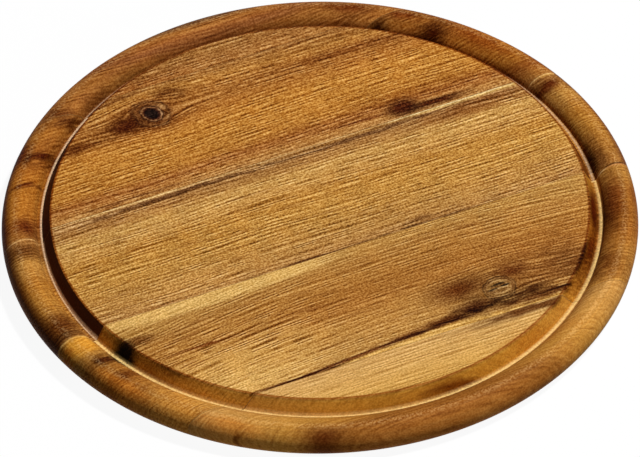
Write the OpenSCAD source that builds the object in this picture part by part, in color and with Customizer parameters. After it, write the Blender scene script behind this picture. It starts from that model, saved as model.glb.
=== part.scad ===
// Round carving board, edge-glued from five acacia staves and turned with a
// half-round rim bead and a deep juice groove inside it.
// Millimetres. The origin is the middle of the underside, +Z is up and the
// grain of every stave runs along X.

/* [Board] */
// Diameter over the rim
board_d = 300; // [260:1:400]
// Thickness from the underside to the carving surface
board_t = 18; // [16:0.5:28]

/* [Rim bead] */
// How far the bead's crown lies below the carving surface
crown_drop = 0.8; // [0:0.1:2]
// Distance from the outer edge in to the crown, and radius of the bead's outer shoulder
crown_inset = 8; // [6:0.1:10]
// Radius of the bead's inner flank, from the crown down into the groove
flank_r = 9; // [8.5:0.1:12]
// Radius of the rounded edge underneath
under_r = 9; // [2:0.1:9]

/* [Juice groove] */
// Depth of the groove below the carving surface
groove_depth = 7.7; // [4:0.1:8.5]
// Width of the groove's flat floor
groove_floor_w = 2.5; // [1:0.1:6]
// Lean of the groove's inner wall away from upright, in degrees
wall_lean = 25; // [5:1:45]
// Chamfer that eases the carving surface's edge, along the surface and down the wall
edge_break = 0.4; // [0.2:0.1:1.5]

/* [Staves] */
// Width of a full stave
stave_w = 70.2; // [60:0.1:76]
// Distance of the middle stave's centre line from the board's centre
stave_shift = 5.3; // [-15:0.1:15]
// Thickness of the glue film in each edge joint
glue_t = 0.2; // [0.1:0.05:0.5]

/* [Hidden] */
$fn = 96;

// Rim section: radii from the board's axis, heights from the underside
board_r = board_d / 2;
crown_r = board_r - crown_inset;
crown_z = board_t - crown_drop;
girth_z = crown_z - crown_inset;
under_round = min(under_r, girth_z);

// Groove section, with the flank's arc centred straight below the crown
flank_z = crown_z - flank_r;
floor_z = board_t - groove_depth;
floor_out_r = crown_r - sqrt(flank_r * flank_r - (floor_z - flank_z) * (floor_z - flank_z));
floor_in_r = floor_out_r - groove_floor_w;
surface_r = floor_in_r - groove_depth * tan(wall_lean);

// Edge joints between the staves, counted from the far side
joint_count = 4;
joint_pitch = stave_w + glue_t;
function joint_y(i) = stave_shift + ((joint_count - 1) / 2 - i) * joint_pitch;

// How far cutting shapes run past the board
overrun = 1;

// A quarter of a disc, in the first quadrant
module quarter_disc(r) {
  intersection() {
    circle(r);
    square(r + overrun);
  }
}

// The blank: its body, the bead's shoulder and the rounded edge underneath
module blank_section() {
  square([crown_r, board_t]);
  square([board_r - under_round, girth_z]);
  translate([crown_r, girth_z]) quarter_disc(crown_inset);
  translate([board_r - under_round, under_round]) {
    mirror([0, 1]) quarter_disc(under_round);
    if (girth_z > under_round) square([under_round, girth_z - under_round]);
  }
}

// The groove: from the eased edge down its leaning inner wall, across the floor to the bead's flank
module groove_section() {
  top = board_t + overrun;
  lean = tan(wall_lean);
  difference() {
    polygon([
      [surface_r - edge_break - overrun * (1 + lean), top],
      [surface_r + edge_break * lean, board_t - edge_break],
      [floor_in_r, floor_z],
      [crown_r, floor_z],
      [crown_r, top]
    ]);
    translate([crown_r, flank_z]) circle(flank_r);
  }
}

// The whole board as it comes off the lathe
module turned_board() {
  rotate_extrude() {
    difference() {
      blank_section();
      groove_section();
    }
  }
}

// What the turned board has between two upright planes along the grain
module board_between(y_low, y_high) {
  past_edge = board_r + overrun;
  intersection() {
    turned_board();
    translate([-past_edge, y_low, -overrun]) {
      cube([2 * past_edge, y_high - y_low, board_t + 2 * overrun]);
    }
  }
}

// A full stave, between glue lines i - 1 and i
module inner_stave(i) {
  board_between(joint_y(i) + glue_t / 2, joint_y(i - 1) - glue_t / 2);
}

module far_edge_stave() {
  color("#9a6230") board_between(joint_y(0) + glue_t / 2, board_r + overrun);
}

module far_stave() {
  color("#a86c30") inner_stave(1);
}

module middle_stave() {
  color("#b98345") inner_stave(2);
}

module near_stave() {
  color("#b27a3c") inner_stave(3);
}

module near_edge_stave() {
  color("#c3924e") board_between(-board_r - overrun, joint_y(joint_count - 1) - glue_t / 2);
}

// The cured glue in edge joint i
module glue_line(i) {
  color("#c9a468") board_between(joint_y(i) - glue_t / 2, joint_y(i) + glue_t / 2);
}

far_edge_stave();
far_stave();
middle_stave();
near_stave();
near_edge_stave();
glue_line(0);  // glue_line_1
glue_line(1);  // glue_line_2
glue_line(2);  // glue_line_3
glue_line(3);  // glue_line_4
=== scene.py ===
# Round carving board of acacia: five edge-glued staves, turned with a rim bead and a juice groove.
# Metres, same frame as the CAD: origin in the middle of the underside, +Z up, grain along X.
import math
from functools import partial
import bpy
import bmesh
from mathutils import Matrix, Vector


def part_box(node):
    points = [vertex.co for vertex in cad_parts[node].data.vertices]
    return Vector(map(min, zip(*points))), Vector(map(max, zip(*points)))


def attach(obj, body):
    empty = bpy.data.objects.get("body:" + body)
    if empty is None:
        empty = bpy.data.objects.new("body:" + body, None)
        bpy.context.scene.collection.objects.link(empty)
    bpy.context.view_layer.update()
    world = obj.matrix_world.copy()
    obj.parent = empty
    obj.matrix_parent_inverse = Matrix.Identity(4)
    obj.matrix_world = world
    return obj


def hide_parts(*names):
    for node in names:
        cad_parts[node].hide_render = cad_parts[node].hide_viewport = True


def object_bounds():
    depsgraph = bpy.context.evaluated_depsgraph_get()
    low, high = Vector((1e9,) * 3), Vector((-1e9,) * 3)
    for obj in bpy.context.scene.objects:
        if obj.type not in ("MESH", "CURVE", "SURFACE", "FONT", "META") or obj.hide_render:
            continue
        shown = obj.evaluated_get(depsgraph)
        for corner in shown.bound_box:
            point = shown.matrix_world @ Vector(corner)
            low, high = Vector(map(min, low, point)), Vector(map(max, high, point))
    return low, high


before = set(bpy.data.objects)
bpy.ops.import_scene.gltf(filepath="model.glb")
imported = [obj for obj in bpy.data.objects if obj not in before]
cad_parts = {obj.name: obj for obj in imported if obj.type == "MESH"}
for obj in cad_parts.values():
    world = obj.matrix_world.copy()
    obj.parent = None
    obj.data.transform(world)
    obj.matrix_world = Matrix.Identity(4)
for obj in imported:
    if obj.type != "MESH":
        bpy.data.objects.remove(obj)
cadBox = [list(corner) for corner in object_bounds()]
mm = 0.001
print("frame loaded:", len(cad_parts), "nodes")


def hexColour(code, alpha=1.0):  # sRGB hex to the linear colour that a socket takes
    parts = [int(code[i:i + 2], 16) / 255 for i in (1, 3, 5)]
    linear = [p / 12.92 if p <= 0.04045 else ((p + 0.055) / 1.055) ** 2.4 for p in parts]
    return (*linear, alpha)


def addNode(tree, kind, links=(), stops=(), **settings):  # links: inputs by name, or in order
    node = tree.nodes.new("ShaderNode" + kind)
    for key, value in settings.items():
        setattr(node, key, value)
    for index, (place, colour) in enumerate(stops):
        elements = node.color_ramp.elements
        element = elements[index] if index < 2 else elements.new(place)
        element.position = place
        element.color = colour
    for key, value in links.items() if isinstance(links, dict) else enumerate(links):
        socket = node.inputs[key]
        if isinstance(value, bpy.types.Node):
            tree.links.new(value.outputs[0], socket)
        elif isinstance(value, bpy.types.NodeSocket):
            tree.links.new(value, socket)
        else:
            socket.default_value = value
    return node


def newMaterial(name):
    material = bpy.data.materials.new(name)
    material.use_nodes = True
    material.node_tree.nodes.clear()
    return material, material.node_tree


# Camera: a long lens from the front, matched to the photograph's 640 x 457 frame
photoView = {
    "target": (0.0, 0.0, 0.018),  # middle of the carving surface
    "azimuth": -23.82,            # the grain runs up to the right
    "elevation": 43.695,
    "distance": 4.275,
    "aimDown": 0.1276,            # degrees, drops the aim below the target
    "roll": 0.7075,               # degrees, clockwise
    "lens": 511.0,                # mm
    "sensor": 36.0,
    "farClip": 100.0,
}


def makeCamera(view):
    az, el = math.radians(view["azimuth"]), math.radians(view["elevation"])
    right = Vector((math.cos(az), math.sin(az), 0))
    back = Vector((math.sin(az) * math.cos(el), -math.cos(az) * math.cos(el), math.sin(el)))
    spot = Vector(view["target"]) + back * view["distance"]
    tip = Matrix.Rotation(-math.radians(view["aimDown"]), 3, right)
    back = tip @ back
    turn = Matrix.Rotation(math.radians(view["roll"]), 3, -back)
    right = turn @ right
    up = back.cross(right)
    lens = bpy.data.cameras.new("camera")
    lens.sensor_width = view["sensor"]
    lens.lens = view["lens"]
    lens.clip_end = view["farClip"]
    camera = bpy.data.objects.new("camera", lens)
    camera.matrix_world = Matrix.Translation(spot) @ Matrix((right, up, back)).transposed().to_4x4()
    bpy.context.scene.collection.objects.link(camera)
    bpy.context.scene.camera = camera


makeCamera(photoView)
bpy.context.scene.view_settings.view_transform = "Standard"
print("camera set")

# Light: a soft box high on the right, a weak one low in front, a dim room and white paper under the board
studio = {
    "lamps": {                    # azimuth and elevation in the part's frame, degrees; size in m; watts
        "key": (-12.0, 65.0, 0.9, 822.0),
        "fill": (280.0, 15.0, 3.6, 190.0),
    },
    "lampDistance": 9.0,
    "under": (0.22, 0.3, 0.5),    # weak lamp under the floor, for views from below: depth, size in m; watts
    "white": "#ffffff",
    "room": 0.025,                # what the object sees of the room
    "backdrop": 1.0,              # what the camera sees of it
    "floorSize": 16.0,
    "floorDrop": 0.0002,          # clear of the underside, so the two faces don't fight
    "floorGlow": 0.93,            # share of the paper's white that stays in the board's shadow
    "floorSeen": "#4a4a4a",
    "floorBounce": "#5a5a5a",     # what the floor gives back to the object
}


def addLamp(name, place, turn, size, watts):
    lamp = bpy.data.lights.new(name, "AREA")
    lamp.shape = "DISK"
    lamp.size = size
    lamp.energy = watts
    box = bpy.data.objects.new(name, lamp)
    box.location = place
    box.rotation_euler = turn
    bpy.context.scene.collection.objects.link(box)
    return box


def rayKinds(tree):  # the light path, and 1 for rays that reach the eye straight, mirrored or through glass
    path = addNode(tree, "LightPath")
    eye = addNode(tree, "Math", {0: path.outputs["Is Camera Ray"], 1: path.outputs["Is Glossy Ray"]},
                  operation="MAXIMUM")
    eye = addNode(tree, "Math", {0: eye, 1: path.outputs["Is Transmission Ray"]}, operation="MAXIMUM")
    return path, eye


def makeStudio(light):
    for name, (azimuth, elevation, size, watts) in light["lamps"].items():
        az, el = math.radians(azimuth), math.radians(elevation)
        toward = Vector((math.cos(az) * math.cos(el), math.sin(az) * math.cos(el), math.sin(el)))
        turn = toward.to_track_quat("Z", "Y").to_euler()
        addLamp(name, toward * light["lampDistance"], turn, size, watts)
    depth, size, watts = light["under"]
    under = addLamp("under", (0, 0, -depth), (math.pi, 0, 0), size, watts)
    under.visible_camera = False
    under.visible_glossy = False

    world = bpy.data.worlds.new("room")
    world.use_nodes = True
    tree = world.node_tree
    tree.nodes.clear()
    path, eye = rayKinds(tree)
    white = hexColour(light["white"])
    dim = addNode(tree, "Background", {"Color": white, "Strength": light["room"]})
    seen = addNode(tree, "Background", {"Color": white, "Strength": light["backdrop"]})
    pick = addNode(tree, "MixShader", {0: eye, 1: dim, 2: seen})
    addNode(tree, "OutputWorld", {"Surface": pick})
    bpy.context.scene.world = world

    bm = bmesh.new()
    bmesh.ops.create_grid(bm, x_segments=1, y_segments=1, size=light["floorSize"] / 2)
    bmesh.ops.translate(bm, verts=bm.verts, vec=(0, 0, -light["floorDrop"]))
    mesh = bpy.data.meshes.new("floor")
    bm.to_mesh(mesh)
    bm.free()
    floor = bpy.data.objects.new("floor", mesh)
    bpy.context.scene.collection.objects.link(floor)

    # matt white paper: takes the board's shadow, shows white, and from below lets the view through
    paper, tree = newMaterial("matt_paper")
    path, eye = rayKinds(tree)
    glow = addNode(tree, "Emission", {"Strength": light["floorGlow"]})
    seen = addNode(tree, "BsdfDiffuse", {"Color": hexColour(light["floorSeen"])})
    seen = addNode(tree, "AddShader", {0: glow, 1: seen})
    bounce = addNode(tree, "BsdfDiffuse", {"Color": hexColour(light["floorBounce"])})
    pick = addNode(tree, "MixShader", {0: eye, 1: bounce, 2: seen})
    side = addNode(tree, "NewGeometry")
    clear = addNode(tree, "BsdfTransparent")
    through = addNode(tree, "Math", {0: side.outputs["Backfacing"], 1: path.outputs["Is Shadow Ray"]},
                      operation="MAXIMUM")
    both = addNode(tree, "MixShader", {0: through, 1: pick, 2: clear})
    addNode(tree, "OutputMaterial", {"Surface": both})
    mesh.materials.append(paper)


makeStudio(studio)
print("studio set")

# Acacia, planed, turned and oiled: crisp dark and pale lines along X, brown heartwood bands, pale sapwood
# and round knots. Turned end grain drinks more oil, so it is darker and redder, and the finish is satin.
acacia = {
    "noises": {                   # size along, across and through in mm; shift, detail and roughness
        "wander": ((90, 30, 30), 0.0, 2.0, 0.55),       # slow bend of the bands
        "ripple": ((26, 6, 6), 3.0, 2.0, 0.55),         # short waves of the fibres
        "sway": ((60, 4, 5), 17.0, 0.0, 0.55),          # where the lines leave an even spacing
        "mottle": ((9, 24, 24), 11.0, 3.0, 0.6),        # faint clouds across the grain
        "dash": ((1, 1.2, 3.0), 23.0, 0.0, 0.55),       # breaks in the lines; each stave gives the length
        "grit": ((0.95, 0.8, 0.8), 29.0, 0.0, 0.55),    # cut fibres, drawn coarser than real so they show
        "bark": ((6, 6, 9), 31.0, 1.0, 0.55),           # bends in the rings of a knot
        "fineBark": ((1.8, 1.8, 9), 31.0, 1.0, 0.55),
        "patches": ((34, 6, 9), 41.0, 1.0, 0.55),       # where the lines are strong or calm
        "pores": ((22, 0.8, 3.0), 53.0, 1.0, 0.5),      # 0.2 mm wide on real wood, drawn coarser to show
        "turning": ((1.2, 1.2, 1.2), 61.0, 2.0, 0.55),  # turning lines round the bead
    },
    "seedStep": (7.3, 3.1),       # each stave's own place in the noises
    "wander": 2.4,                # how far the first three noises move the lines, mm
    "ripple": 0.4,
    "sway": 3.4,
    "surface": 18.0,              # height of the carving surface, mm
    "through": (9.0, 60.0),       # middle and reach of marks that go right through the wood, mm
    "skin": (18.0, 3.0),          # and of marks that lie only on the carving surface
    "knotCore": 0.4,              # keeps the parting gentle in a knot's middle
    "knotBends": {"bark": 0.3, "fineBark": 0.14},
    "spacing": 2.0,               # from one dark line to the next, mm
    "rag": 0.6,                   # how far dashes fray a mark
    "dashRange": (0.32, 0.6),     # noise at no line and at a full one
    "calmRange": (0.4, 0.6, 0.6, 1.0),  # noise, and the share of the lines left, in calm and strong patches
    "gritRange": (0.3, 0.7),
    "gritDepth": 0.45,
    "darken": 0.46,
    "deepen": 0.46,               # how far a dark line also reddens
    "contrast": -0.2,             # dark lines stand out more than pale ones
    "mottleRange": (0.32, 0.68),
    "poreRange": (0.56, 0.66),
    "poreTone": "#a07044",
}
plainMark = {                     # what a mark has unless it says otherwise
    "turn": 0, "blend": "MULTIPLY", "core": 0.2, "ragged": 0.5, "calm": 0.0, "top": False, "bent": False,
}

# Turned faces and oil; rings are inner radius, outer radius and softness in mm
finish = {
    "upperSide": (9.0, 10.0),     # heights between which the upper side begins, mm
    "rimFrom": (127.0, 128.0),    # radii between which the turned faces begin
    "turnedGrain": 0.5,           # how much of the lines is left on turned faces
    "wallGrain": -0.2,            # and how much less on the groove's wall
    "turnedGrit": 0.65,
    "turnedTone": "#f0e1c7",      # turned faces take more oil than the planed one
    "turning": (0.3, 0.7, 0.9, 1.1),    # noise and tone of the turning lines
    "endFacing": (0.3, 0.9),      # how squarely end grain faces along the fibres
    "endGrainTone": "#8c6038",
    "oilTone": "#fffceb",         # oil gives it all an amber cast
    "wall": (127.25, 130.8, 0.15),
    "wallTone": "#eee3b2",
    "wallShade": (10.5, 17.5, 1.28, 0.9),  # heights and tones: its foot is lighter than its top
    "grooveShadowTones": {                   # painted shadow on the wall of the groove at the left, darker still at its foot
        "#38180f": (127.25, 135.0, 0.2),
        "#260f0b": (130.3, 135.0, 0.2),
    },
    "grooveShadowFrom": (-10, -50),      # from none to full, mm along the grain
    "grooveShadowShare": 0.85,
    "grooveShadowEnd": 0.2,              # softness where the pale line cuts it off
    "floorShift": (0.7, 0.8),     # the painted highlight line on the groove floor runs a little off the middle
    "floorEnd": 0.35,             # its softness
    "floorHighlightTone": "#f2cc82",
    "pinkHighlightTone": "#eccba4",        # a pinker tone of the painted highlight
    "speckle": (0.6, 1.4),        # how far the grit breaks it up
    "highlightFadeFrom": (60.0, 130.0),    # where the painted highlight fades off at the right, mm along the grain
    "crease": (0.15, 0.9, 0.25),  # painted shade: a dark ring just outside the painted highlight line
    "creaseShadeShare": 0.35,
    "creaseShadeTone": "#8a6448",
    "crown": (142.4, 144.6, 0.8),  # painted highlight along the top of the bead
    "crownSheenGrit": -0.1,            # only the higher grit takes the painted highlight
    "crownSheenShare": 0.24,
    "crownSheenTone": "#f0c888",
    "foot": (132.6, 143.0, 0.25),  # painted shade at the foot of the bead
    "footShadeFade": (134.5, 141.5),
    "footShadeTone": "#865638",
    "edge": (126.3, 127.3, 0.3),  # the broken edge of the carving surface is darker
    "edgeTone": "#b88e62",
    "roughness": (0.6, 0.45),     # of dark lines and of pale ones
    "ior": 1.47,
    "specular": 0.02,
    "poreDepth": -0.8,
    "ridges": 0.6,                # height of the turning lines
    "bump": (0.6, 0.0001),        # strength, and depth in m
}


def acaciaMaterial(name, stave):
    material, tree = newMaterial(name)
    add = partial(addNode, tree)
    coord = add("TexCoord")
    place = add("VectorMath", {0: coord.outputs["Object"], "Scale": 1 / mm}, operation="SCALE")
    u, v, z = add("SeparateXYZ", (place,)).outputs
    plan = add("CombineXYZ", (u, v))
    radius = add("VectorMath", (plan,), operation="LENGTH").outputs["Value"]
    onTop = add("MapRange", (z, *finish["upperSide"], 0.0, 1.0))
    onRim = add("MapRange", (radius, *finish["rimFrom"], 0.0, 1.0))

    def ring(away, inner, outer, soft):  # 1 between two radii on the upper side
        rise = add("MapRange", (away, inner - soft, inner + soft, 0.0, 1.0))
        fall = add("MapRange", (away, outer - soft, outer + soft, 1.0, 0.0))
        both = add("Math", (rise, fall), operation="MULTIPLY")
        return add("Math", (both, onTop), operation="MULTIPLY")

    def grainNoise(vector, kind, along=1):  # noise stretched along the grain
        (length, width, depth), shift, detail, rough = acacia["noises"][kind]
        stepU, stepZ = acacia["seedStep"]
        corner = (stave["seed"] * stepU + shift, shift, stave["seed"] * stepZ)
        size = (1 / (length * along), 1 / width, 1 / depth)
        spot = add("Mapping", {"Vector": vector, "Location": corner, "Scale": size})
        return add("TexNoise", {"Vector": spot, "Scale": 1.0, "Detail": detail, "Roughness": rough})

    # bands bend slowly, and part round each knot as a stream parts round a stone
    shift = acacia["wander"] * stave["wander"]
    wander = grainNoise(place, "wander")
    wander = add("Math", (wander, 2 * shift, -shift), operation="MULTIPLY_ADD")
    t = add("Math", (v, wander))
    for knot in stave["knots"]:
        du = add("Math", (u, knot["at"][0]), operation="SUBTRACT")
        du = add("Math", (du, knot["stretch"]), operation="DIVIDE")
        dv = add("Math", (t, knot["at"][1]), operation="SUBTRACT")
        flat = add("CombineXYZ", (du, dv))
        near = add("VectorMath", (flat, flat), operation="DOT_PRODUCT")
        near = add("Math", (near.outputs["Value"], acacia["knotCore"] * knot["parts"] ** 2))
        push = add("Math", (knot["parts"] ** 2, near), operation="DIVIDE")
        push = add("Math", (push, dv), operation="MULTIPLY")
        t = add("Math", (t, push), operation="SUBTRACT")
    lean = add("Math", (z, stave["lean"], -stave["lean"] * acacia["surface"]), operation="MULTIPLY_ADD")
    t = add("Math", (t, lean))
    bowAt, bow = stave["bow"]
    reach = add("Math", (u, bowAt), operation="SUBTRACT")
    reach = add("Math", (reach, reach), operation="MULTIPLY")
    t = add("Math", (reach, bow, t), operation="MULTIPLY_ADD")
    bands = add("CombineXYZ", (u, t, z))
    ripple = grainNoise(bands, "ripple")
    ripple = add("Math", (ripple, 2 * acacia["ripple"], -acacia["ripple"]), operation="MULTIPLY_ADD")
    t = add("Math", (t, ripple))
    grain = add("CombineXYZ", (u, t, z))

    # heartwood and sapwood bands across the stave
    low, high = stave["tones"][0][0], stave["tones"][-1][0]
    across = add("MapRange", (t, low, high, 0.0, 1.0))
    stops = [((spot - low) / (high - low), hexColour(code)) for spot, code in stave["tones"]]
    colour = add("ValToRGB", (across,), stops).outputs[0]

    # knots: a dark eye in broken rings of bark
    middle, reach = acacia["through"]
    for knot in stave["knots"]:
        spot = add("Mapping", {"Vector": place, "Location": (*knot["at"], middle),
                               "Rotation": (0, 0, math.radians(knot["turn"])),
                               "Scale": (*knot["size"], reach)}, vector_type="TEXTURE")
        away = add("VectorMath", (spot,), operation="LENGTH").outputs["Value"]
        for kind, much in acacia["knotBends"].items():
            bend = grainNoise(place, kind)
            away = add("Math", (bend, much, away), operation="MULTIPLY_ADD")
            away = add("Math", (away, much / 2), operation="SUBTRACT")
        rings = [(share, hexColour(code, alpha)) for share, code, alpha in knot["rings"]]
        eye = add("ValToRGB", (away,), rings).outputs
        colour = add("Mix", {0: eye["Alpha"], 6: colour, 7: eye["Color"]}, data_type="RGBA").outputs[2]

    # the fibres lie in rows, each broken into dashes of its own
    length, depth = stave["grain"]
    swayed = add("Math", (grainNoise(grain, "sway"), acacia["sway"], t), operation="MULTIPLY_ADD")
    row = add("Math", (swayed, acacia["spacing"]), operation="SNAP")
    rows = add("CombineXYZ", (u, row, z))
    fibre = grainNoise(rows, "dash", length)

    # smudges and streaks of darker or paler wood, frayed along the grain
    rag = add("Math", (fibre, 2 * acacia["rag"], -acacia["rag"]), operation="MULTIPLY_ADD")
    hush = 1.0
    for own in stave["marks"]:
        mark = {**plainMark, **own}
        middle, reach = acacia["skin" if mark["top"] else "through"]
        spot = add("Mapping", {"Vector": grain if mark["bent"] else place, "Location": (*mark["at"], middle),
                               "Rotation": (0, 0, math.radians(mark["turn"])),
                               "Scale": (*mark["size"], reach)}, vector_type="TEXTURE")
        away = add("VectorMath", (spot,), operation="LENGTH").outputs["Value"]
        away = add("Math", (rag, mark["ragged"], away), operation="MULTIPLY_ADD")
        mask = add("MapRange", (away, 1.0, mark["core"], 0.0, mark["strength"]),
                   interpolation_type="SMOOTHSTEP")
        colour = add("Mix", {0: mask, 6: colour, 7: hexColour(mark["tone"])}, data_type="RGBA",
                     blend_type=mark["blend"]).outputs[2]
        if mark["calm"]:  # here the lines fade, or stand out where it is below 0
            fade = add("Math", (mask, -mark["calm"], 1.0), operation="MULTIPLY_ADD")
            hush = add("Math", (hush, fade), operation="MULTIPLY")

    # dark and pale lines, strong in some patches and calm in others, over a fine grit
    phase = add("Math", (swayed, 2 * math.pi / acacia["spacing"]), operation="MULTIPLY")
    lines = add("Math", (phase,), operation="SINE")
    dash = add("MapRange", (fibre, *acacia["dashRange"], 0.0, depth))
    lines = add("Math", (lines, dash), operation="MULTIPLY")
    calm = add("MapRange", (grainNoise(grain, "patches"), *acacia["calmRange"]))
    calm = add("Math", (calm, hush), operation="MULTIPLY")
    lines = add("Math", (lines, calm), operation="MULTIPLY")
    gritDepth = acacia["gritDepth"] * stave["grit"]
    grit = add("MapRange", (grainNoise(place, "grit"), *acacia["gritRange"], -gritDepth, gritDepth))
    smooth = add("MapRange", (onRim, 0.0, 1.0, 1.0, finish["turnedGrit"]))
    grit = add("Math", (grit, smooth), operation="MULTIPLY")
    keep = add("MapRange", (onRim, 0.0, 1.0, 1.0, finish["turnedGrain"]))
    onWall = ring(radius, *finish["wall"])
    keep = add("Math", (onWall, finish["wallGrain"], keep), operation="MULTIPLY_ADD")
    lines = add("Math", (lines, keep, grit), operation="MULTIPLY_ADD")
    deeper = add("Math", (lines, lines), operation="MULTIPLY")
    lines = add("Math", (deeper, acacia["contrast"], lines), operation="MULTIPLY_ADD")
    much = stave["mottle"]
    mottle = add("MapRange", (grainNoise(grain, "mottle"), *acacia["mottleRange"], 1.0 - much, 1.0 + much))
    shade = add("Math", (lines, acacia["darken"], mottle), operation="MULTIPLY_ADD")
    redden = add("Math", (lines, -acacia["deepen"], 1.0), operation="MULTIPLY_ADD")
    colour = add("Gamma", (colour, redden))
    layers = [(1.0, shade, "MULTIPLY")]  # over the bare wood, in order: share, tone and blend

    # long dark pore lines, crowded where the lines are strong
    pores = add("MapRange", (grainNoise(grain, "pores"), *acacia["poreRange"], 0.0, stave["pores"]),
                interpolation_type="SMOOTHSTEP")
    pores = add("Math", (pores, calm), operation="MULTIPLY")
    layers.append((pores, hexColour(acacia["poreTone"]), "MULTIPLY"))

    # turned faces: oilier, with faint turning lines; dark end grain; a wall that is lighter at its foot
    facing = add("SeparateXYZ", (coord.outputs["Normal"],))
    outward = add("Math", (u,), operation="SIGN")
    facing = add("Math", (facing.outputs[0], outward), operation="MULTIPLY")
    endGrain = add("MapRange", (facing, *finish["endFacing"], 0.0, stave["endGrain"]),
                   interpolation_type="SMOOTHSTEP")
    layers.append((endGrain, hexColour(finish["endGrainTone"]), "MULTIPLY"))
    profile = add("CombineXYZ", (radius, z))
    turning = grainNoise(profile, "turning")
    turnedShade = add("MapRange", (turning, *finish["turning"]))
    wallShade = add("MapRange", (z, *finish["wallShade"]))
    for where, shading, tone in ((onRim, turnedShade, "turnedTone"), (onWall, wallShade, "wallTone")):
        tinted = add("Mix", {0: 1.0, 6: shading, 7: hexColour(finish[tone])}, data_type="RGBA",
                     blend_type="MULTIPLY").outputs[2]
        layers.append((where, tinted, "MULTIPLY"))

    # painted shadow in the groove at the left, as far as the pale line, and oil over it all
    shifted = add("VectorMath", (plan, (*finish["floorShift"], 0.0)), operation="SUBTRACT")
    shifted = add("VectorMath", (shifted,), operation="LENGTH").outputs["Value"]
    lineIn, lineOut, lineSoft, lineShare, lineTone = stave["line"]
    leftGrooveShade = add("MapRange", (u, *finish["grooveShadowFrom"], 0.0, finish["grooveShadowShare"] * stave["leftGrooveShade"]),
                interpolation_type="SMOOTHSTEP")
    inside = add("MapRange", (shifted, lineIn - finish["grooveShadowEnd"], lineIn + finish["grooveShadowEnd"], 1.0, 0.0))
    leftGrooveShade = add("Math", (leftGrooveShade, inside), operation="MULTIPLY")
    for tone, reach in finish["grooveShadowTones"].items():
        shadedPart = add("Math", (leftGrooveShade, ring(radius, *reach)), operation="MULTIPLY")
        layers.append((shadedPart, hexColour(tone), "MIX"))
    layers.append((1.0, hexColour(finish["oilTone"]), "MULTIPLY"))

    # a painted highlight: a pale, broken line on the groove floor, with a ring of painted shade outside it
    faint, full = finish["speckle"]
    speckle = add("MapRange", (grit, -gritDepth, gritDepth, faint * lineShare, full * lineShare))
    softIn = add("MapRange", (shifted, lineIn - lineSoft, lineIn + lineSoft, 0.0, 1.0))
    paintedFloorHighlight = ring(shifted, lineIn - lineSoft, lineOut, finish["floorEnd"])
    lineFade = add("MapRange", (u, *finish["highlightFadeFrom"], 1.0, stave["lineRight"]))
    for factor in (softIn, speckle, lineFade):
        paintedFloorHighlight = add("Math", (paintedFloorHighlight, factor), operation="MULTIPLY")
    layers.append((paintedFloorHighlight, hexColour(finish[lineTone]), "MIX"))
    # painted shade in the corner between the groove floor and the bead's flank
    creaseIn, creaseOut, creaseSoft = finish["crease"]
    crease = ring(shifted, lineOut + creaseIn, lineOut + creaseOut, creaseSoft)
    crease = add("Math", (crease, finish["creaseShadeShare"]), operation="MULTIPLY")
    layers.append((crease, hexColour(finish["creaseShadeTone"]), "MULTIPLY"))

    # a painted highlight along the crown, painted shade at the foot of the bead, and a darker edge of the
    # carving surface
    paintedCrownSheen = add("MapRange", (grit, finish["crownSheenGrit"], gritDepth, 0.0, finish["crownSheenShare"]))
    paintedCrownSheen = add("Math", (ring(radius, *finish["crown"]), paintedCrownSheen), operation="MULTIPLY")
    layers.append((paintedCrownSheen, hexColour(finish["crownSheenTone"]), "MIX"))
    foot = add("MapRange", (radius, *finish["footShadeFade"], stave["foot"], 0.0),
               interpolation_type="SMOOTHSTEP")
    foot = add("Math", (foot, ring(radius, *finish["foot"])), operation="MULTIPLY")
    layers.append((foot, hexColour(finish["footShadeTone"]), "MULTIPLY"))
    layers.append((ring(radius, *finish["edge"]), hexColour(finish["edgeTone"]), "MULTIPLY"))
    for share, tone, blend in layers:
        colour = add("Mix", {0: share, 6: colour, 7: tone}, data_type="RGBA", blend_type=blend).outputs[2]

    # satin oil: pores and loose fibres are duller
    dull = add("MapRange", (lines, -1.0, 1.0, *finish["roughness"]))
    height = add("Math", (pores, finish["poreDepth"], lines), operation="MULTIPLY_ADD")
    ridges = add("Math", (turning, onRim), operation="MULTIPLY")
    height = add("Math", (ridges, finish["ridges"], height), operation="MULTIPLY_ADD")
    strength, distance = finish["bump"]
    bump = add("Bump", {"Strength": strength, "Distance": distance, "Height": height})
    shader = add("BsdfPrincipled", {"Base Color": colour, "Roughness": dull, "IOR": finish["ior"],
                                    "Specular IOR Level": finish["specular"], "Normal": bump})
    add("OutputMaterial", {"Surface": shader})
    return material


# The turned board: one section spun about Z, then sawn into the staves at the glue lines
turned = {
    "crownInset": 8.0 * mm,       # crown of the bead, in from the rim
    "crownDrop": 0.8 * mm,        # crown below the carving surface
    "underRadius": 9.0 * mm,
    "flankRadius": 9.0 * mm,
    "grooveDepth": 7.7 * mm,
    "floorWidth": 2.5 * mm,
    "wallLean": 25.0,             # degrees off upright
    "edgeBreak": 0.4 * mm,
    "floorEase": 0.35 * mm,       # the cutter's small corner radius at the groove floor
    "cornerSteps": 3,
    "arcSteps": 14,
    "turns": 480,
    "weld": 0.002 * mm,           # points closer than this become one
    "sawWeld": 0.001 * mm,
    "rimMargin": 1.0 * mm,        # a side this close to the rim has no saw cut
    "crisp": 28.0,                # degrees, above which an edge is shaded crisp
}


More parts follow.
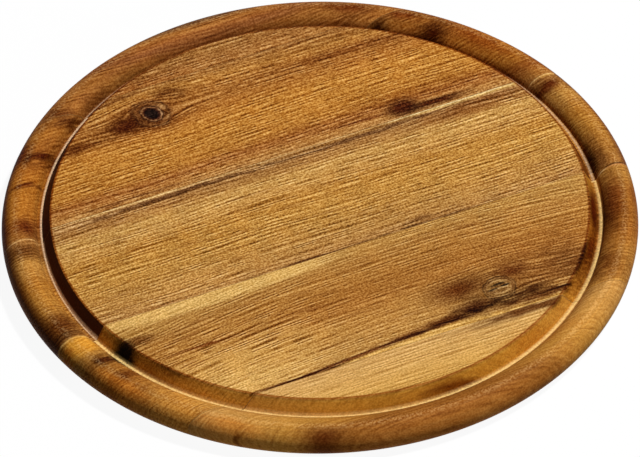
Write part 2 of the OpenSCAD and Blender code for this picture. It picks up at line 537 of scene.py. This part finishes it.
def spinBoard(shape):
    rim, top = cadBox[1][0], cadBox[1][2]
    crown = rim - shape["crownInset"]
    girth = top - shape["crownDrop"] - shape["crownInset"]
    floorZ = top - shape["grooveDepth"]
    flankZ = top - shape["crownDrop"] - shape["flankRadius"]
    flankReach = math.acos((floorZ - flankZ) / shape["flankRadius"])
    bm = bmesh.new()

    def onward(tip, move):  # a straight run
        run = bmesh.ops.extrude_vert_indiv(bm, verts=[tip])
        bmesh.ops.translate(bm, verts=run["verts"], vec=move)
        return run["verts"][0]

    def arc(tip, centre, angle):  # a turn about the Y direction in the XZ plane
        turn = bmesh.ops.spin(bm, geom=[tip], cent=centre, axis=(0, 1, 0), angle=angle,
                              steps=shape["arcSteps"])
        return [g for g in turn["geom_last"] if isinstance(g, bmesh.types.BMVert)][0]

    tip = bm.verts.new((0, 0, 0))
    tip = onward(tip, (rim - shape["underRadius"], 0, 0))
    tip = arc(tip, (rim - shape["underRadius"], 0, shape["underRadius"]), -math.pi / 2)
    tip = onward(tip, (0, 0, girth - shape["underRadius"]))
    tip = arc(tip, (crown, 0, girth), -math.pi / 2)
    foot = arc(tip, (crown, 0, flankZ), -flankReach)
    heel = onward(foot, (-shape["floorWidth"], 0, 0))
    rise = shape["grooveDepth"]
    edge = onward(heel, (-rise * math.tan(math.radians(shape["wallLean"])), 0, rise))
    onward(edge, (-edge.co.x, 0, 0))
    for corners, size in (([edge], shape["edgeBreak"]), ([heel, foot], shape["floorEase"])):
        bmesh.ops.bevel(bm, geom=corners, offset=size, affect="VERTICES", segments=shape["cornerSteps"],
                        profile=0.5, material=-1)
    bmesh.ops.spin(bm, geom=bm.verts[:] + bm.edges[:], cent=(0, 0, 0), axis=(0, 0, 1), angle=2 * math.pi,
                   steps=shape["turns"], use_merge=True)
    bmesh.ops.remove_doubles(bm, verts=bm.verts, dist=shape["weld"])
    bmesh.ops.recalc_face_normals(bm, faces=bm.faces)
    mesh = bpy.data.meshes.new("turned_board")
    bm.to_mesh(mesh)
    bm.free()
    return mesh


def sawStave(board, node, piece, material):  # keeps what lies between the node's own sides
    low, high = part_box(node)
    bm = bmesh.new()
    bm.from_mesh(board)
    for cut, side in ((low[1], -1), (high[1], 1)):
        if abs(cut) > cadBox[1][0] - turned["rimMargin"]:
            continue
        whole = bm.verts[:] + bm.edges[:] + bm.faces[:]
        bmesh.ops.bisect_plane(bm, geom=whole, dist=turned["sawWeld"], plane_co=(0, cut, 0),
                               plane_no=(0, side, 0), clear_outer=True)
        rimEdges = [e for e in bm.edges if e.is_boundary]
        bmesh.ops.contextual_create(bm, geom=rimEdges)
    bmesh.ops.recalc_face_normals(bm, faces=bm.faces)
    for face in bm.faces:
        face.smooth = True
    for e in bm.edges:
        e.smooth = not e.is_manifold or e.calc_face_angle() < math.radians(turned["crisp"])
    mesh = bpy.data.meshes.new(piece)
    bm.to_mesh(mesh)
    bm.free()
    mesh.materials.append(material)
    stave = bpy.data.objects.new(piece, mesh)
    bpy.context.scene.collection.objects.link(stave)
    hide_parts(node)
    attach(stave, "root")
    print(piece, len(mesh.vertices), "vertices,", len(mesh.polygons), "faces")


board = spinBoard(turned)
print("board turned:", len(board.vertices), "vertices")

# Rings of a knot from its middle out: share of its size, tone and strength
knotRings = [(0.0, "#241412", 1.0), (0.3, "#2a1814", 1.0), (0.39, "#5a3022", 1.0), (0.45, "#d0a67c", 0.8),
             (0.51, "#3a2016", 0.9), (0.63, "#7a4e2c", 0.55), (0.72, "#b88c58", 0.5), (0.81, "#4a2a18", 0.7),
             (0.91, "#6a4024", 0.4), (1.0, "#6a4024", 0.0)]
paleRings = [(0.0, "#7a5630", 0.8), (0.3, "#c89c62", 0.9), (0.42, "#9a7042", 0.8), (0.5, "#d0a568", 0.9),
             (0.6, "#a2763f", 0.75), (0.68, "#d0a466", 0.85), (0.78, "#855b35", 0.7), (0.84, "#c2965a", 0.7),
             (0.92, "#4a2e1c", 0.7), (1.0, "#4a2e1c", 0.0)]

# Staves, from the far edge to the near edge; places and sizes in mm, along and across the grain.
# lean, bow, wander: how the bands tilt, curve (where and how much) and stray
# grain: length and depth of the dashes; mottle, grit, pores, endGrain: strengths
# line: inner and outer radius, softness, share and tone of the painted highlight on the groove floor;
# lineRight: its share at the right
# foot: painted shade at the foot of the bead; stain: painted shadow in the groove at the left; tones:
# colours from one side to the other
# marks: full as far as core and frayed by ragged; top ones lie only on the carving surface, bent ones
# follow the bands, calm ones quieten the lines
# knots: turn is in degrees; stretch and parts say how far out the bands part round them
farEdgeStave = {
    "seed": 1, "lean": 0.3, "bow": (10, 0.0), "wander": 0.7,
    "grain": (7, 0.75), "mottle": 0.08, "grit": 0.9, "pores": 0.5, "endGrain": 1.0,
    "line": (131.9, 132.4, 0.3, 0.5, "pinkHighlightTone"), "lineRight": 1.0, "foot": 0.05, "leftGrooveShade": 1.0,
    "tones": [(100, "#a8703a"), (111, "#b0773f"), (118, "#a06a37"), (124, "#a26e39"), (129, "#9e6836"),
              (133, "#96603a"), (137, "#a46938"), (140, "#b67e46"), (143, "#8c6240"), (146, "#644432"),
              (160, "#644430")],
    "marks": [
        {"at": (-86, 111), "size": (12, 8), "tone": "#8a6450", "strength": 0.8},
        {"at": (-75, 127), "size": (15, 13), "tone": "#bc824c", "blend": "MIX", "strength": 0.6,
         "core": 0.0},
        {"at": (-66, 116.5), "size": (16, 4), "turn": 30, "tone": "#8a5c48", "strength": 0.45},
        {"at": (70, 123), "size": (20, 4.5), "turn": -30, "tone": "#b0785a", "strength": 0.8,
         "ragged": 0.3},
        {"at": (-42, 114), "size": (38, 5), "tone": "#dcc4ac", "strength": 0.8, "top": True},
        {"at": (66, 117), "size": (24, 3.0), "tone": "#8a5c3a", "strength": 0.35, "ragged": 0.3},
    ],
    "knots": [],
}
farStave = {
    "seed": 2, "lean": 0.3, "bow": (20, 0.00012), "wander": 1.0,
    "grain": (7, 0.75), "mottle": 0.08, "grit": 0.95, "pores": 0.4, "endGrain": 1.0,
    "line": (131.25, 132.1, 0.3, 0.75, "pinkHighlightTone"), "lineRight": 0.9, "foot": 0.18, "leftGrooveShade": 1.0,
    "tones": [(39.0, "#c0904e"), (42.2, "#b5814a"), (46, "#b27a40"), (49, "#ab7039"), (52, "#9c5f2c"),
              (58, "#b57834"), (68, "#bd7f37"), (78, "#bd7e36"), (86, "#b07132"), (92, "#a2672f"),
              (98, "#a86d33"), (103, "#b47a3a"), (108, "#a36d37"), (113, "#8a5a30")],
    "marks": [
        {"at": (-50, 92), "size": (34, 10), "tone": "#a07a58", "strength": 0.8, "bent": True},
        {"at": (-61, 90), "size": (14, 9), "tone": "#8a605a", "strength": 0.95, "ragged": 0.12,
         "calm": 0.7},
        {"at": (-90, 87), "size": (30, 5), "tone": "#8e6a50", "strength": 0.9, "bent": True},
        {"at": (-34, 100), "size": (12, 6), "tone": "#8a6448", "strength": 0.8, "bent": True},
        {"at": (-45.8, 93.2), "size": (4.4, 3.5), "turn": 8, "tone": "#1a0e0a", "blend": "MIX",
         "strength": 0.95, "core": 0.3, "ragged": 0.35},
        {"at": (64.5, 46.6), "size": (12.5, 9.4), "tone": "#6e4a44", "strength": 1.0, "core": 0.3,
         "ragged": 0.12, "calm": 0.6},
        {"at": (80, 44.2), "size": (26, 4.2), "tone": "#6a4438", "strength": 1.0, "ragged": 0.3},
        {"at": (42, 46.6), "size": (28, 1.8), "turn": -3, "tone": "#9a6038", "strength": 0.8},
        {"at": (74, 56), "size": (50, 6), "tone": "#dcc8b0", "strength": 0.7, "core": 0.0, "bent": True},
        {"at": (60, 104), "size": (70, 3.0), "tone": "#8e6848", "strength": 0.3, "bent": True},
        {"at": (60, 95), "size": (60, 4), "tone": "#b08a68", "strength": 0.7, "bent": True},
        {"at": (-70, 106), "size": (50, 2.4), "tone": "#98704a", "strength": 0.6, "bent": True},
        {"at": (-83, 107.5), "size": (8, 8), "tone": "#7e5248", "strength": 0.8, "core": 0.0},
        {"at": (-80, 43.4), "size": (50, 1.4), "tone": "#8a5c48", "strength": 0.6, "ragged": 0.9,
         "top": True},
        {"at": (-106, 90), "size": (14, 3.6), "tone": "#7a4630", "strength": 0.95},
        {"at": (-120, 74), "size": (12, 2.6), "tone": "#84503a", "strength": 0.95},
        {"at": (-113, 95), "size": (9, 14), "turn": -40, "tone": "#9a7254", "strength": 0.95,
         "ragged": 0.2},
        {"at": (-130, 47), "size": (8, 9), "tone": "#8e5840", "strength": 0.85, "ragged": 0.4},
        {"at": (101, 91), "size": (13, 11), "tone": "#6a4028", "strength": 1.0, "core": 0.0,
         "ragged": 0.15},
        {"at": (107, 106), "size": (14, 13), "tone": "#a4764e", "strength": 0.9, "core": 0.0,
         "ragged": 0.2},
        {"at": (119, 75), "size": (7, 27), "turn": 31, "tone": "#b8805c", "strength": 0.7, "ragged": 0.3},
        {"at": (92, 107), "size": (16, 5), "turn": -40, "tone": "#b0785a", "strength": 0.8, "ragged": 0.3},
        {"at": (79, 107.6), "size": (8, 5), "tone": "#54301c", "strength": 1.0, "core": 0.0,
         "ragged": 0.15},
    ],
    "knots": [
        {"at": (-46, 93), "size": (10.4, 11.4), "turn": 25,
         "stretch": 1.6, "parts": 8.0, "rings": knotRings},
    ],
}
middleStave = {
    "seed": 3, "lean": 0.25, "bow": (0, 0.0), "wander": 1.0,
    "grain": (9, 0.8), "mottle": 0.1, "grit": 1.0, "pores": 0.5, "endGrain": 0.85,
    "line": (130.95, 132.05, 0.35, 0.78, "pinkHighlightTone"), "lineRight": 0.5, "foot": 0.12, "leftGrooveShade": 1.0,
    "tones": [(-32, "#a8783f"), (-28.4, "#b3814a"), (-22, "#b58347"), (-14, "#b88545"), (-6, "#bd8944"),
              (2, "#c18c45"), (10, "#b9823c"), (18, "#c59250"), (26, "#c99957"), (30, "#b58247"),
              (34, "#a67440"), (38, "#ae7e4c"), (41, "#b08048")],
    "marks": [
        {"at": (-56, 36.8), "size": (66, 2.2), "tone": "#74503e", "strength": 0.82, "ragged": 1.1,
         "bent": True},
        {"at": (34, 37.6), "size": (74, 1.9), "tone": "#765240", "strength": 0.82, "ragged": 1.1,
         "bent": True},
        {"at": (-50, 40.2), "size": (110, 0.7), "tone": "#ecc48c", "blend": "MIX", "strength": 0.7,
         "core": 0.3, "ragged": 1.2},
        {"at": (106, 39.6), "size": (62, 1.7), "tone": "#eac27a", "blend": "MIX", "strength": 0.6,
         "core": 0.4, "ragged": 0.25, "top": True},
        {"at": (136, 40.1), "size": (15, 0.7), "tone": "#e6bc84", "blend": "MIX", "strength": 0.8,
         "core": 0.4, "ragged": 0.2},
        {"at": (-137, 40.0), "size": (14, 0.8), "tone": "#e6bc8c", "blend": "MIX", "strength": 0.85,
         "core": 0.4, "ragged": 0.3},
        {"at": (140, -29.4), "size": (9, 0.8), "tone": "#6a3a20", "strength": 0.85, "ragged": 0.2},
        {"at": (88, 40.2), "size": (44, 0.7), "tone": "#f6dcaa", "blend": "MIX", "strength": 0.9,
         "core": 0.5, "ragged": 0.4},
        {"at": (-86, 40.2), "size": (46, 0.8), "tone": "#f0ca90", "blend": "MIX", "strength": 0.85,
         "core": 0.5, "top": True},
        {"at": (-12, -29.2), "size": (46, 0.9), "tone": "#7a5236", "strength": 0.9, "ragged": 0.8,
         "top": True},
        {"at": (44, -29.2), "size": (38, 0.9), "tone": "#6a442e", "strength": 0.9, "ragged": 0.8,
         "top": True},
        {"at": (-72, -21), "size": (56, 10), "tone": "#d09a56", "blend": "MIX", "strength": 0.5,
         "core": 0.0},
        {"at": (36, -26.6), "size": (28, 3.0), "tone": "#80583e", "strength": 0.55, "core": 0.0,
         "ragged": 1.1, "top": True},
        {"at": (95, 33), "size": (40, 7), "tone": "#b89068", "strength": 0.7, "bent": True},
        {"at": (135, -23), "size": (6, 12), "tone": "#7a4430", "strength": 0.5, "ragged": 0.2},
        # painted shade: the dark patch low on the bead's flank and the groove floor at the right
        {"at": (132.4, -19), "size": (3.4, 14), "turn": -8, "tone": "#442c1c", "strength": 0.7,
         "ragged": 0.15},
        {"at": (-141, -20), "size": (14, 13), "tone": "#8a6040", "strength": 0.85, "ragged": 0.2},
        {"at": (-142, -27), "size": (13, 3.6), "tone": "#6a4428", "strength": 0.85, "core": 0.0,
         "ragged": 0.2},
        {"at": (136, -13), "size": (7, 16), "turn": -6, "tone": "#9a5e44", "strength": 0.35, "ragged": 0.3},
        {"at": (129, 2), "size": (2.4, 36), "tone": "#8e5e44", "strength": 0.85, "ragged": 0.2},
        {"at": (134, 33), "size": (9, 5), "tone": "#8a4a38", "strength": 0.9},
        {"at": (-137, 32), "size": (14, 9), "tone": "#7e5a44", "strength": 0.85, "core": 0.0,
         "ragged": 0.25},
    ],
    "knots": [],
}
nearStave = {
    "seed": 4, "lean": 0.3, "bow": (15, 0.0006), "wander": 1.0,
    "grain": (7, 0.65), "mottle": 0.08, "grit": 0.85, "pores": 0.4, "endGrain": 0.15,
    "line": (131.7, 133.1, 0.8, 0.92, "floorHighlightTone"), "lineRight": 0.9, "foot": 0.05, "leftGrooveShade": 0.0,
    "tones": [(-110, "#d4a45c"), (-96.4, "#d4a45c"), (-95.0, "#c08f50"), (-86, "#b98648"), (-76, "#ba8444"),
              (-66, "#a86f34"), (-56, "#a46c31"), (-46, "#b07a3c"), (-40, "#ae7a3e"), (-36, "#b48244"),
              (-30, "#ba8a4a"), (-20, "#ba8a4a")],
    "marks": [
        {"at": (-84, -76), "size": (74, 32), "tone": "#dcab62", "blend": "MIX", "strength": 0.75,
         "core": 0.0, "bent": True},
        {"at": (-70, -32.4), "size": (80, 7.2), "tone": "#deb26c", "blend": "MIX", "strength": 0.95,
         "core": 0.5, "ragged": 0.15, "calm": 0.4, "top": True},
        {"at": (-76, -92), "size": (56, 10), "tone": "#deb06a", "blend": "MIX", "strength": 0.8,
         "core": 0.0},
        {"at": (-58, -62), "size": (62, 34), "tone": "#ffffff", "strength": 1.0, "core": 0.4, "calm": -0.5},
        {"at": (78, -80), "size": (56, 22), "tone": "#a07c5c", "strength": 0.7, "bent": True},
        {"at": (36, -77), "size": (27, 13), "tone": "#86604a", "strength": 1.0, "core": 0.1, "ragged": 0.1,
         "calm": 0.75},
        {"at": (64, -75.5), "size": (15, 7), "tone": "#a67c64", "strength": 0.95, "core": 0.0,
         "ragged": 0.2, "calm": 0.6},
        {"at": (39, -90.4), "size": (22, 9), "turn": 4, "tone": "#7e605a", "strength": 1.0, "core": 0.0,
         "ragged": 0.3, "calm": 0.7, "top": True},
        {"at": (40, -91), "size": (13, 5), "turn": 6, "tone": "#a88e80", "strength": 1.0, "core": 0.1,
         "ragged": 0.6, "top": True},
        {"at": (22, -94.0), "size": (26, 4.0), "turn": 5, "tone": "#987660", "strength": 1.0, "core": 0.1,
         "ragged": 0.7, "top": True},
        {"at": (61, -91.6), "size": (25, 6.4), "turn": 4, "tone": "#6a4c3c", "strength": 0.9, "core": 0.0,
         "ragged": 0.7, "calm": 0.3, "top": True},
        {"at": (-56, -99.6), "size": (34, 1.1), "tone": "#7a5242", "strength": 0.95, "core": 0.5,
         "ragged": 0.4, "top": True},
        {"at": (-23, -97.4), "size": (90, 1.7), "turn": 4, "tone": "#7e5446", "strength": 0.95, "core": 0.3,
         "top": True},
        {"at": (10, -93.8), "size": (54, 3.0), "turn": 4, "tone": "#a88468", "strength": 0.8, "core": 0.0,
         "ragged": 0.4, "top": True},
        {"at": (70, -96), "size": (38, 4.6), "tone": "#8a6650", "strength": 0.9, "ragged": 0.9,
         "top": True},
        {"at": (16, -95.3), "size": (42, 1.9), "turn": 4, "tone": "#845a4a", "strength": 0.9, "ragged": 0.4,
         "top": True},
        {"at": (84, -95), "size": (26, 1.2), "turn": 3, "tone": "#6a4630", "strength": 0.9, "top": True},
        {"at": (131, -30.2), "size": (6, 0.7), "tone": "#f4dcae", "blend": "MIX", "strength": 0.9,
         "core": 0.5, "ragged": 0.2},
        {"at": (-122.0, -47.6), "size": (8.5, 10), "turn": 20, "tone": "#120a06", "blend": "MIX",
         "strength": 1.0, "core": 0.35, "ragged": 0.15},
        {"at": (-86, -61.2), "size": (28, 1.5), "tone": "#9a6038", "strength": 0.9, "ragged": 0.8,
         "top": True},
        {"at": (-112, -46), "size": (10, 5), "tone": "#9a7c64", "strength": 0.9, "top": True},
        {"at": (-108.6, -70.5), "size": (3.6, 22), "turn": 33, "tone": "#5a2c14", "strength": 0.9,
         "core": 0.3, "ragged": 0.2, "top": True},
        {"at": (99.4, -81.6), "size": (3.4, 24), "turn": -40, "tone": "#5a2c14", "strength": 0.95,
         "core": 0.3, "ragged": 0.2, "top": True},
        {"at": (-132, -49.5), "size": (14, 5.6), "tone": "#704838", "strength": 0.95},
        {"at": (-128, -63), "size": (14, 6), "tone": "#8e6448", "strength": 0.8},
        {"at": (-139, -30.5), "size": (13, 0.8), "tone": "#f2cc88", "blend": "MIX", "strength": 0.85,
         "core": 0.5, "ragged": 0.2},
        {"at": (-138, -36.4), "size": (15, 8), "tone": "#eeb04c", "blend": "MIX", "strength": 0.95,
         "core": 0.4, "ragged": 0.15},
        {"at": (-131, -66.7), "size": (28, 5), "turn": -63, "tone": "#ec983e", "blend": "MIX",
         "strength": 0.45, "ragged": 0.3},
        {"at": (-147, -38), "size": (6, 10), "tone": "#c88856", "strength": 0.9, "core": 0.0},
        {"at": (129, -51), "size": (9, 25), "turn": -22, "tone": "#a4664e", "strength": 0.75,
         "ragged": 0.4},
        {"at": (113, -94), "size": (7, 24), "turn": -40, "tone": "#d8a860", "blend": "MIX", "strength": 0.4,
         "ragged": 0.3},
        {"at": (94, -80), "size": (22, 14), "tone": "#9c7060", "strength": 0.55, "core": 0.0},
        {"at": (140, -30.4), "size": (10, 0.7), "tone": "#d8a070", "blend": "MIX", "strength": 0.7,
         "core": 0.5, "ragged": 0.2},
        {"at": (126.5, -47), "size": (6.5, 20), "turn": -20, "tone": "#8e6250", "strength": 0.3,
         "ragged": 0.3},
        {"at": (124, -56), "size": (6, 12), "turn": -24, "tone": "#8a5e4c", "strength": 0.3, "ragged": 0.3},
        {"at": (143, -50), "size": (8, 17), "turn": -20, "tone": "#c4a07c", "strength": 0.75,
         "ragged": 0.3},
        {"at": (109, -91), "size": (12, 15), "turn": -40, "tone": "#b48e6c", "strength": 0.6},
        {"at": (-113, -95), "size": (18, 24), "tone": "#dc9a46", "blend": "MIX", "strength": 0.55,
         "core": 0.0, "ragged": 0.3},
        {"at": (118.4, -51), "size": (3.2, 24), "turn": -24, "tone": "#845038", "strength": 1.0,
         "ragged": 0.2},
        {"at": (106, -74), "size": (2.6, 17), "turn": -35, "tone": "#9a6a54", "strength": 0.95,
         "ragged": 0.2},
        {"at": (120, -64), "size": (9, 15), "tone": "#7c543c", "strength": 0.5, "ragged": 0.2},
        {"at": (54, -81.6), "size": (5.6, 1.1), "turn": 4, "tone": "#2a1c12", "blend": "MIX",
         "strength": 0.85, "core": 0.5},
        {"at": (57, -83.4), "size": (3.4, 1.0), "turn": 4, "tone": "#2a1a10", "blend": "MIX",
         "strength": 1.0, "core": 0.5},
        {"at": (51, -84), "size": (3.6, 1.0), "turn": 4, "tone": "#2a1c12", "blend": "MIX",
         "strength": 0.85, "core": 0.5},
    ],
    "knots": [
        {"at": (54, -84), "size": (9, 8), "turn": 6,
         "stretch": 1.7, "parts": 5.0, "rings": paleRings},
    ],
}
nearEdgeStave = {
    "seed": 5, "lean": -0.15, "bow": (10, 0.0), "wander": 0.7,
    "grain": (8, 0.45), "mottle": 0.07, "grit": 0.6, "pores": 0.3, "endGrain": 0.2,
    "line": (131.5, 132.9, 0.7, 0.95, "floorHighlightTone"), "lineRight": 1.0, "foot": 0.3, "leftGrooveShade": 0.0,
    "tones": [(-160, "#a46e36"), (-149, "#aa733a"), (-145, "#a87038"), (-141, "#a06a33"), (-136, "#a47038"),
              (-132, "#be8a47"), (-126, "#c8974f"), (-120, "#d4a35c"), (-100, "#d2a468"), (-90, "#d2a466")],
    "marks": [
        {"at": (-60, -135.6), "size": (16, 8), "turn": -23, "tone": "#8e5e50", "strength": 0.9, "core": 0.0,
         "ragged": 0.1, "calm": 0.6},
        {"at": (-95.3, -116), "size": (6, 0.8), "turn": -20, "tone": "#5a3420", "strength": 0.9,
         "ragged": 0.4},
        {"at": (62, -102.8), "size": (46, 4.6), "tone": "#745034", "strength": 0.95, "top": True},
        {"at": (-96.4, -111), "size": (26, 5), "turn": -41, "tone": "#ec983e", "blend": "MIX",
         "strength": 0.45, "ragged": 0.3},
        {"at": (60, -118), "size": (34, 9), "tone": "#eedabe", "strength": 0.8, "core": 0.0},
        {"at": (14, -129.4), "size": (28, 2.2), "tone": "#a0764c", "strength": 0.9, "ragged": 0.3},
    ],
    "knots": [],
}
staves = {
    "far_edge_stave": farEdgeStave,
    "far_stave": farStave,
    "middle_stave": middleStave,
    "near_stave": nearStave,
    "near_edge_stave": nearEdgeStave,
}
for node, stave in staves.items():
    wood = acaciaMaterial("oiled_acacia_" + node, stave)
    sawStave(board, node, node + "_wood", wood)
print("staves sawn")

# Cured wood glue: a thin amber film, a little glossier than the wood, cloudy along its length
woodGlue = {
    "films": 4,
    "tone": "#8e6636",
    "cloud": "#644222",
    "cloudSize": 6.0,             # mm
    "cloudDetail": 2.0,
    "cloudRange": (0.35, 0.65),   # noise at full cloud and at clear glue
    "roughness": 0.4,
    "ior": 1.5,
    "specular": 0.05,
}


def glueMaterial(glue):
    material, tree = newMaterial("cured_wood_glue")
    coord = addNode(tree, "TexCoord")
    scale = 1 / mm / glue["cloudSize"]
    cloud = addNode(tree, "TexNoise", {"Vector": coord.outputs["Object"], "Scale": scale,
                                       "Detail": glue["cloudDetail"]})
    stops = zip(glue["cloudRange"], (hexColour(glue["cloud"]), hexColour(glue["tone"])))
    tone = addNode(tree, "ValToRGB", {0: cloud}, stops)
    shader = addNode(tree, "BsdfPrincipled", {"Base Color": tone, "Roughness": glue["roughness"],
                                              "IOR": glue["ior"], "Specular IOR Level": glue["specular"]})
    addNode(tree, "OutputMaterial", {"Surface": shader})
    return material


glueFilm = glueMaterial(woodGlue)
for number in range(1, woodGlue["films"] + 1):
    node = "glue_line_" + str(number)
    sawStave(board, node, node + "_film", glueFilm)
bpy.data.meshes.remove(board)
print("glue films set")
